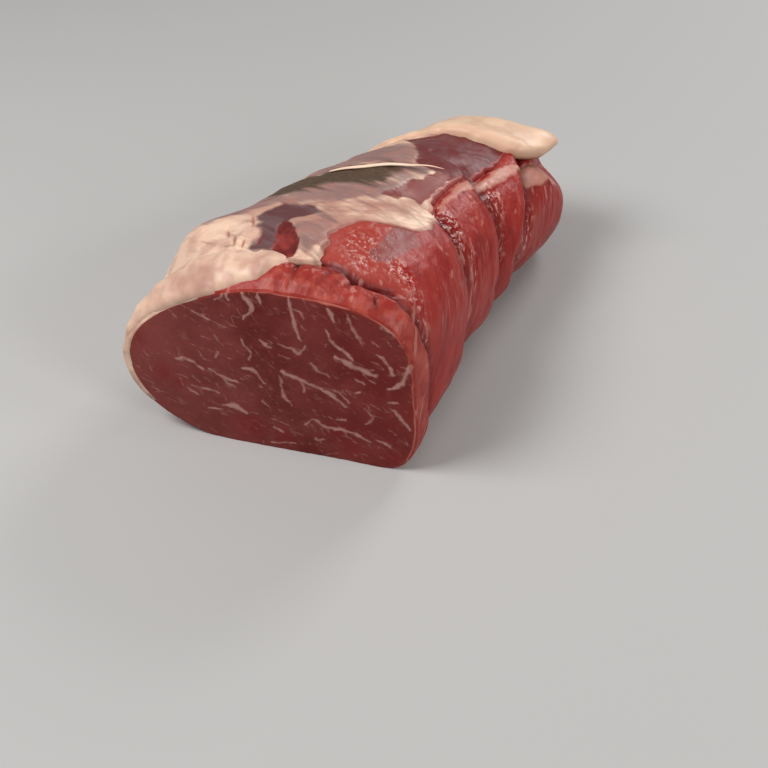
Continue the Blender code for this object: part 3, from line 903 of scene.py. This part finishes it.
flap = np.exp(-((c_deg - flap_deg) / flap_wide)**2 - ((c_back - flap_back) / flap_long)**2)
c_base = (section_radius(c_back, c_angle) + swell(c_skin)) * dome(c_back)
cap_top = place(c_back, c_angle, c_base + CAP_LIFT + c_thick + flap_high * flap)
cap_low = place(c_back, c_angle, c_base - CAP_BELOW + (flap_high - CAP_BELOW) * flap)
# painted shade: the cap's puckered dips get a darker tone
cap = slab_mesh("rear_fat_cap", cap_top, cap_low,
                {"edge": 1 - step(0.5, 5.0, c_edge), "hollow_shade": step(0.2, -0.7, c_pucker)})

# %% [markdown]
# ## The sinew strand
# A thin cream strand of sinew lies across the top, broad at one end and drawn to a point at the
# other.  It is a flattened tube along a smooth curve.

# %% Sinew
SINEW = ((122, 105), (110, 109), (98, 113.5), (85, 119), (77, 123), (68, 127))
SINEW_ROWS, SINEW_COLS = 90, 16
SINEW_HALF_WIDE = 1.4
SINEW_LIFT = 3.0         # mm that its middle lies above the muscle's skin
SINEW_FLAT = 0.45        # its height as a share of its width
t = np.linspace(0, 1, SINEW_ROWS)
knots = np.linspace(0, 1, len(SINEW))
s_deg = smooth(t, knots, [p[0] for p in SINEW])[:, None]
s_back = smooth(t, knots, [p[1] for p in SINEW])[:, None] + 0.5 * np.sin(t * 17)[:, None]
s_wide = (SINEW_HALF_WIDE * np.sin(np.pi * t**0.55).clip(0, 1)**0.8 + 0.12)[:, None]
s_turn = np.arange(SINEW_COLS)[None, :] * 2 * np.pi / SINEW_COLS
s_b = s_back + s_wide * np.cos(s_turn)
s_a = np.radians(s_deg + 0.25 * s_wide * np.cos(s_turn))
s_skin = skin_at(s_b, s_a)
s_lift = SINEW_LIFT + SINEW_FLAT * s_wide * np.sin(s_turn)
s_r = section_radius(s_b, s_a) + swell(s_skin) + s_lift
sinew = tube_mesh("sinew_strand", place(s_b, s_a, s_r), {"tint": 0 * s_r, "hollow_shade": 0 * s_r})

# %% [markdown]
# ## Finishes
# Raw meat is wet: its gloss is soft and patchy, and its bump is faint, because the lumps and
# folds are already in the mesh.  Each finish lays a few named colours over each other by the
# masks, with a little noise to break the masks' edges.  Colours are given as they look on screen
# and turned to linear.


# %% Material helpers
def linear(r, g, b):
    """Screen colour 0-255 turned to linear: ((c + 0.055) / 1.055)^2.4, or c / 12.92 when dark."""
    out = []
    for v in (r, g, b):
        v = v / 255.0
        out.append(v / 12.92 if v <= 0.04045 else ((v + 0.055) / 1.055)**2.4)
    return (*out, 1.0)


SKIN_DEPTH = 0.002       # how far light travels under a wet surface, in metres


class Finish:
    """A Principled material under construction: small methods add nodes and return sockets."""

    def __init__(self, name, roughness, specular):
        self.material = bpy.data.materials.new(name)
        self.material.use_nodes = True
        self.tree = self.material.node_tree
        self.shader = next(n for n in self.tree.nodes if n.type == "BSDF_PRINCIPLED")
        self.shader.inputs["Roughness"].default_value = roughness
        self.shader.inputs["Specular IOR Level"].default_value = specular
        self.shader.inputs["Subsurface Weight"].default_value = 0.12
        self.shader.inputs["Subsurface Scale"].default_value = SKIN_DEPTH
        self.shader.inputs["Subsurface Radius"].default_value = (1.0, 0.3, 0.2)
        self.tone = None
        self.place = self.tree.nodes.new("ShaderNodeTexCoord").outputs["Object"]

    def mask(self, name):
        """The mesh's number of that name, from 0 to 1."""
        node = self.tree.nodes.new("ShaderNodeAttribute")
        node.attribute_name = name
        return node.outputs["Fac"]

    def noise(self, per_metre, detail=3.0, stretch=(1.0, 1.0, 1.0), turn=(0.0, 0.0, 0.0)):
        """Noise with this many cells a metre along each of the turned axes."""
        mapping = self.tree.nodes.new("ShaderNodeMapping")
        mapping.vector_type = "TEXTURE"
        mapping.inputs["Scale"].default_value = [1.0 / (per_metre * v) for v in stretch]
        mapping.inputs["Rotation"].default_value = turn
        node = self.tree.nodes.new("ShaderNodeTexNoise")
        node.inputs["Scale"].default_value = 1.0
        node.inputs["Detail"].default_value = detail
        self.tree.links.new(self.place, mapping.inputs["Vector"])
        self.tree.links.new(mapping.outputs["Vector"], node.inputs["Vector"])
        return node.outputs["Fac"]

    def span(self, value, from_low, from_high, to_low=0.0, to_high=1.0):
        """The value carried from one range to another along 3t^2 - 2t^3."""
        node = self.tree.nodes.new("ShaderNodeMapRange")
        node.interpolation_type = "SMOOTHSTEP"
        ends = {"From Min": from_low, "From Max": from_high, "To Min": to_low, "To Max": to_high}
        for key, v in ends.items():
            node.inputs[key].default_value = v
        self.tree.links.new(value, node.inputs["Value"])
        return node.outputs["Result"]

    def maths(self, kind, a, b):
        """One sum on two values, each a number or a socket."""
        node = self.tree.nodes.new("ShaderNodeMath")
        node.operation = kind
        for slot, v in zip(node.inputs, (a, b)):
            if isinstance(v, (int, float)):
                slot.default_value = v
            else:
                self.tree.links.new(v, slot)
        return node.outputs[0]

    def ragged(self, name, noise, amount=0.5, low=0.35, high=0.65):
        """A mask whose edge is broken up: mask + amount * (noise - 0.5), sharpened."""
        shifted = self.maths("MULTIPLY_ADD", noise, amount)
        shifted.node.inputs[2].default_value = -0.5 * amount
        return self.span(self.maths("ADD", self.mask(name), shifted), low, high)

    def mix(self, factor, a, b):
        """a * (1 - factor) + b * factor, for colours."""
        node = self.tree.nodes.new("ShaderNodeMix")
        node.data_type = "RGBA"
        for slot, v in ((node.inputs[0], factor), (node.inputs[6], a), (node.inputs[7], b)):
            if isinstance(v, (tuple, int, float)):
                slot.default_value = v
            else:
                self.tree.links.new(v, slot)
        return node.outputs[2]

    def layer(self, mask, colour, amount=1.0):
        """Lays a colour over the tone so far, by the mask, or the named one, times the amount."""
        mask = self.mask(mask) if isinstance(mask, str) else mask
        mask = mask if amount == 1.0 else self.maths("MULTIPLY", mask, amount)
        self.tone = self.mix(mask, self.tone, colour)

    def rough(self, socket):
        """Drives the roughness."""
        self.tree.links.new(socket, self.shader.inputs["Roughness"])

    def bump(self, height, depth_mm):
        """Tilts the normal by a height of up to depth_mm."""
        node = self.tree.nodes.new("ShaderNodeBump")
        node.inputs["Strength"].default_value = 1.0
        node.inputs["Distance"].default_value = depth_mm * MM
        self.tree.links.new(height, node.inputs["Height"])
        self.tree.links.new(node.outputs["Normal"], self.shader.inputs["Normal"])

    def give(self, obj, slot):
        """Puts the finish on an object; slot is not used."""
        self.tree.links.new(self.tone, self.shader.inputs["Base Color"])
        obj.data.materials.clear()
        obj.data.materials.append(self.material)


# %% Lean flank finish
LEAN_RED = linear(146, 30, 24)
LEAN_PINK = linear(154, 45, 38)
LEAN_DEEP = linear(92, 14, 14)
RAW_RED = linear(158, 66, 56)
RIM_RED = linear(142, 43, 34)
RIM_LIGHT = linear(166, 70, 57)
GASH_RED = linear(150, 24, 20)
SCRAP_GREY = linear(128, 78, 76)
CAP_PINK = linear(196, 142, 124)
VEIN_FAT = linear(190, 132, 120)
GLINT_PINK = linear(214, 164, 152)
END_LEAN = linear(124, 44, 38)

FIBRE_TURN = (-0.51, 0.0, 0.0)


def lean_finish():
    """Red flank: fibres and ribbons along the fibre direction, then the masks, then pale specks and
    beads painted on the wet patches as glints.
    """
    f = Finish("raw lean flank", 0.4, specular=0.28)
    broad = f.noise(34.0, 2.0)
    fine = f.noise(420.0, 3.0)
    fibres = f.noise(420.0, 4.0, stretch=(1.0, 1.0, 0.16), turn=FIBRE_TURN)
    ribbons = f.noise(150.0, 3.0, stretch=(1.0, 1.0, 0.2), turn=FIBRE_TURN)
    threads = f.noise(210.0, 2.0, stretch=(1.0, 1.0, 0.13), turn=FIBRE_TURN)
    rolls = f.noise(150.0, 2.0)
    beads = f.noise(560.0, 1.0, stretch=(1.0, 1.0, 0.42), turn=FIBRE_TURN)
    f.tone = f.mix(f.span(broad, 0.35, 0.7), LEAN_RED, LEAN_PINK)
    f.layer(f.span(ribbons, 0.48, 0.66), RAW_RED, 0.4)
    f.layer(f.span(ribbons, 0.5, 0.3), LEAN_DEEP, 0.4)
    f.layer(f.span(fibres, 0.58, 0.70), VEIN_FAT, 0.22)
    f.layer(f.ragged("raw", ribbons), RAW_RED, 0.7)
    rim = f.mix(f.span(rolls, 0.42, 0.62), RIM_RED, RIM_LIGHT)
    f.layer(f.ragged("rim", fine), rim, 0.8)
    f.layer(f.ragged("grey", ribbons, 1.2), SCRAP_GREY, 0.75)
    # painted shade down in the valleys, the rim crease and the rim folds
    f.layer("dark", LEAN_DEEP)
    f.layer("gash", GASH_RED, 0.85)
    f.layer(f.ragged("caps", ribbons, 1.3, 0.2, 0.85), CAP_PINK, 0.72)
    f.layer(f.span(threads, 0.62, 0.70), VEIN_FAT, 0.5)
    # painted highlight: pale specks and beads on the wet patches stand in for glints
    painted_glints = f.maths("MULTIPLY", f.span(beads, 0.6, 0.68), f.mask("wet"))
    f.layer("glint_speck", GLINT_PINK, 0.25)
    f.layer(painted_glints, GLINT_PINK, 0.55)
    f.layer("end", END_LEAN)
    wet = f.maths("MULTIPLY", f.mask("wet"), 0.27)
    f.rough(f.maths("SUBTRACT", f.span(broad, 0.3, 0.7, 0.36, 0.46), wet))
    wet_beads = f.maths("MULTIPLY", beads, f.mask("wet"))
    f.bump(f.maths("ADD", f.maths("ADD", ribbons, wet_beads), f.maths("MULTIPLY", fibres, 0.5)), 0.7)
    return f


lean_finish().give(flank, "lean")

# %% Cut face finish
FACE_RED = linear(118, 49, 45)
FACE_DARK = linear(96, 26, 22)
FACE_PALE_AND_LIT = linear(136, 66, 61)
FACE_SHADED_RED = linear(118, 34, 29)
FACE_BLOOD = linear(122, 28, 24)
FACE_FAT = linear(170, 124, 114)
FACE_EDGE_RED = linear(140, 52, 44)
FACE_BRIGHT = linear(184, 106, 94)


def face_finish():
    """Cut face: dark red broken by bundles, painted light on the left and painted shade, darker and
    redder, on the right, with the marbling on top.
    """
    f = Finish("marbled cut face", 0.44, specular=0.16)
    broad = f.noise(45.0, 2.0)
    fine = f.noise(420.0, 4.0)
    bundles = f.noise(170.0, 3.0)
    web = f.noise(120.0, 5.0, stretch=(1.0, 1.0, 1.8), turn=(0.0, 0.7, 0.0))
    f.tone = f.mix(f.span(broad, 0.35, 0.68), FACE_DARK, FACE_RED)
    f.layer(f.span(bundles, 0.5, 0.75), FACE_PALE_AND_LIT, 0.3)
    f.layer(f.span(web, 0.60, 0.72), FACE_FAT, 0.22)
    # painted light on the face's left side, painted shade on its right
    f.layer("painted_light_and_pale_patches", FACE_PALE_AND_LIT, 0.6)
    f.layer("painted_shade_right", FACE_SHADED_RED, 0.45)
    f.layer("blood", FACE_BLOOD, 0.6)
    f.layer("edge", FACE_EDGE_RED, 0.8)
    f.layer(f.ragged("bright", bundles), FACE_BRIGHT, 0.7)
    f.layer(f.ragged("streak", fine, 0.9, 0.12, 0.95), FACE_FAT)
    f.rough(f.span(broad, 0.3, 0.7, 0.38, 0.52))
    f.bump(f.maths("ADD", bundles, f.maths("MULTIPLY", fine, 0.5)), 0.3)
    return f


face_finish().give(cut_face, "lean")

# %% Fat finishes
FAT_CREAM = linear(226, 192, 167)
FAT_PINK = linear(174, 130, 114)
FAT_YELLOW = linear(222, 187, 157)
CAP_SHADE = linear(214, 172, 146)
SINEW_CREAM = linear(236, 208, 184)
SILVER_GREY = linear(134, 102, 98)
DRIED_OLIVE = linear(76, 57, 41)
WINDOW_PLUM = linear(92, 54, 54)
WINDOW_GREY = linear(104, 76, 76)
WOUND_DARK = linear(96, 26, 24)
WOUND_RED = linear(134, 48, 43)
CRACK_RED = linear(150, 46, 38)
MEMBRANE_RED = linear(104, 32, 32)
MEMBRANE_LILAC = linear(106, 55, 57)
STRIPE_RED = linear(118, 37, 35)
FAT_ROSE = linear(170, 115, 103)
FLESH_RED = linear(142, 56, 50)

STREAK_TURN = (0.0, 0.0, -0.35)


def blanket_finish():
    """Fat blanket: cream and pink strands, then silverskin, the dried patch, membrane and wounds."""
    f = Finish("fat blanket", 0.45, specular=0.3)
    broad = f.noise(40.0, 3.0)
    fine = f.noise(420.0, 4.0)
    mottle = f.noise(130.0, 5.0)
    strands = f.noise(210.0, 5.0, stretch=(0.2, 1.0, 0.3), turn=STREAK_TURN)
    f.tone = f.mix(f.span(broad, 0.36, 0.6), FAT_CREAM, FAT_PINK)
    f.layer("yellow", FAT_YELLOW, 0.5)
    f.layer(f.span(f.mask("streaks"), 0.5, 0.9), FAT_ROSE, 0.4)
    f.layer(f.span(strands, 0.5, 0.62), SILVER_GREY, 0.45)
    f.layer(f.span(mottle, 0.54, 0.66), FAT_ROSE, 0.3)
    f.layer("cream", FAT_CREAM, 0.75)
    f.layer(f.ragged("silver", strands, 1.8, 0.1, 0.9), SILVER_GREY, 0.9)
    # painted shade in the fat's hollows
    f.layer("hollow_shade", FAT_ROSE, 0.4)
    f.layer(f.ragged("rose", strands, 1.2, 0.2, 0.8), FAT_ROSE, 0.7)
    f.layer(f.ragged("dried", strands, 1.7, 0.1, 0.9), DRIED_OLIVE)
    flakes = f.maths("MULTIPLY", f.mask("dried"), f.span(fine, 0.56, 0.7))
    f.layer(flakes, SILVER_GREY, 0.35)
    sheen = f.maths("MULTIPLY", f.span(mottle, 0.35, 0.62), f.mask("lilac"))
    skin_tone = f.mix(sheen, MEMBRANE_RED, MEMBRANE_LILAC)
    f.layer(f.ragged("membrane", mottle, 0.9, 0.2, 0.8), skin_tone)
    f.layer(f.ragged("stripes", strands, 1.6), STRIPE_RED, 0.9)
    f.layer(f.ragged("flesh", mottle, 0.8), FLESH_RED, 0.9)
    plum = f.mix(f.span(strands, 0.4, 0.65), WINDOW_PLUM, WINDOW_GREY)
    f.layer(f.ragged("window", mottle, 1.1, 0.2, 0.8), plum)
    f.layer(f.span(f.mask("crack"), 0.3, 0.8), CRACK_RED, 0.6)
    wound_tone = f.mix(f.span(mottle, 0.4, 0.62), WOUND_DARK, WOUND_RED)
    f.layer(f.ragged("wound", mottle, 0.8), wound_tone)
    dry = f.maths("MULTIPLY", f.mask("dried"), 0.2)
    f.rough(f.maths("ADD", f.span(broad, 0.3, 0.7, 0.36, 0.5), dry))
    f.bump(f.maths("ADD", strands, f.maths("MULTIPLY", fine, 0.3)), 0.5)
    return f


def fat_finish(name, light, shade, hollow_shade, shaded):
    """Plain fat: light and shaded cream, a darker third tone painted into the hollows as shade, and one
    mask for its shade.
    """
    f = Finish(name, 0.42, specular=0.35)
    broad = f.noise(50.0, 3.0)
    fine = f.noise(340.0, 3.0)
    f.tone = f.mix(f.span(broad, 0.42, 0.72), light, shade)
    f.layer(shaded, shade, 0.35)
    # painted shade in the hollows
    f.layer("hollow_shade", hollow_shade, 0.32)
    f.rough(f.span(broad, 0.3, 0.7, 0.36, 0.5))
    f.bump(f.maths("ADD", broad, f.maths("MULTIPLY", fine, 0.3)), 0.4)
    return f


blanket_finish().give(blanket, "fat")
fat_finish("fat lip", FAT_CREAM, FAT_PINK, FAT_ROSE, "tint").give(lip, "fat")
fat_finish("rear fat cap", FAT_YELLOW, CAP_SHADE, FAT_PINK, "edge").give(cap, "fat")
fat_finish("sinew", SINEW_CREAM, FAT_CREAM, FAT_CREAM, "tint").give(sinew, "fat")

# %% [markdown]
# ## Joining the pieces to the frame
# Nothing on a joint of meat moves, so every piece rides on the one body.  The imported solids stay
# for collision and weight and are not shown.

# %% Ride and replace
for piece in (flank, cut_face, blanket, lip, cap, sinew):
    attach(piece, "root")
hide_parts("lean_muscle")
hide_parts("fat_cover")

# %% [markdown]
# ## Floor, light and camera
# A pale floor and large white lamps give soft studio light.  The camera looks down at the cut
# face from the front right.

# %% Floor
FLOOR_HALF = 3.0
FLOOR_DROP = 0.0002      # keeps the floor just clear of the joint's underside
floor_mesh = bpy.data.meshes.new("floor")
square = ((-1, -1), (1, -1), (1, 1), (-1, 1))
corners = [(x * FLOOR_HALF, y * FLOOR_HALF, -FLOOR_DROP) for x, y in square]
floor_mesh.from_pydata(corners, [], [(0, 1, 2, 3)])
floor = bpy.data.objects.new("floor", floor_mesh)
bpy.context.scene.collection.objects.link(floor)
floor_material = bpy.data.materials.new("pale floor")
floor_material.use_nodes = True
floor_shader = next(n for n in floor_material.node_tree.nodes if n.type == "BSDF_PRINCIPLED")
floor_shader.inputs["Base Color"].default_value = (0.42, 0.41, 0.40, 1.0)
floor_shader.inputs["Roughness"].default_value = 0.7
floor_mesh.materials.append(floor_material)


# %% Lamps
def soft_lamp(name, place_m, aim_m, size_m, watts):
    """Square area lamp at place_m, turned to aim_m."""
    data = bpy.data.lights.new(name, "AREA")
    data.size = size_m
    data.energy = watts
    lamp = bpy.data.objects.new(name, data)
    lamp.location = place_m
    lamp.rotation_euler = (Vector(aim_m) - Vector(place_m)).to_track_quat("-Z", "Y").to_euler()
    bpy.context.scene.collection.objects.link(lamp)


AIM = (0.0, 0.0, 0.05)
soft_lamp("key", (-0.55, -0.45, 0.95), AIM, 0.5, 12.0)
soft_lamp("fill", (0.9, -0.5, 0.6), AIM, 0.4, 4.0)
soft_lamp("rear", (0.3, 0.9, 0.7), AIM, 0.4, 5.0)
soft_lamp("glints", (0.75, 0.0, 0.5), AIM, 0.10, 1.0)

world = bpy.data.worlds.new("studio")
world.use_nodes = True
world.node_tree.nodes["Background"].inputs["Color"].default_value = (1.0, 1.0, 1.0, 1.0)
world.node_tree.nodes["Background"].inputs["Strength"].default_value = 0.2
bpy.context.scene.world = world

# %% Camera
CAMERA_RISE = np.radians(42.0)
CAMERA_AZIMUTH = np.radians(20.0)
CAMERA_AWAY = 0.655
LENS_MM = 58.6
target = Vector((np.array([-28.5, 56.7, 0.0]) + SHIFT) * MM)
level = np.cos(CAMERA_RISE)
toward = Vector((np.sin(CAMERA_AZIMUTH) * level, -np.cos(CAMERA_AZIMUTH) * level, np.sin(CAMERA_RISE)))
camera_data = bpy.data.cameras.new("camera")
camera_data.lens = LENS_MM
camera_data.sensor_width = 36.0
camera = bpy.data.objects.new("camera", camera_data)
camera.location = target + CAMERA_AWAY * toward
camera.rotation_euler = (-toward).to_track_quat("-Z", "Y").to_euler()
bpy.context.scene.collection.objects.link(camera)
bpy.context.scene.camera = camera
bpy.context.scene.view_settings.view_transform = "Standard"
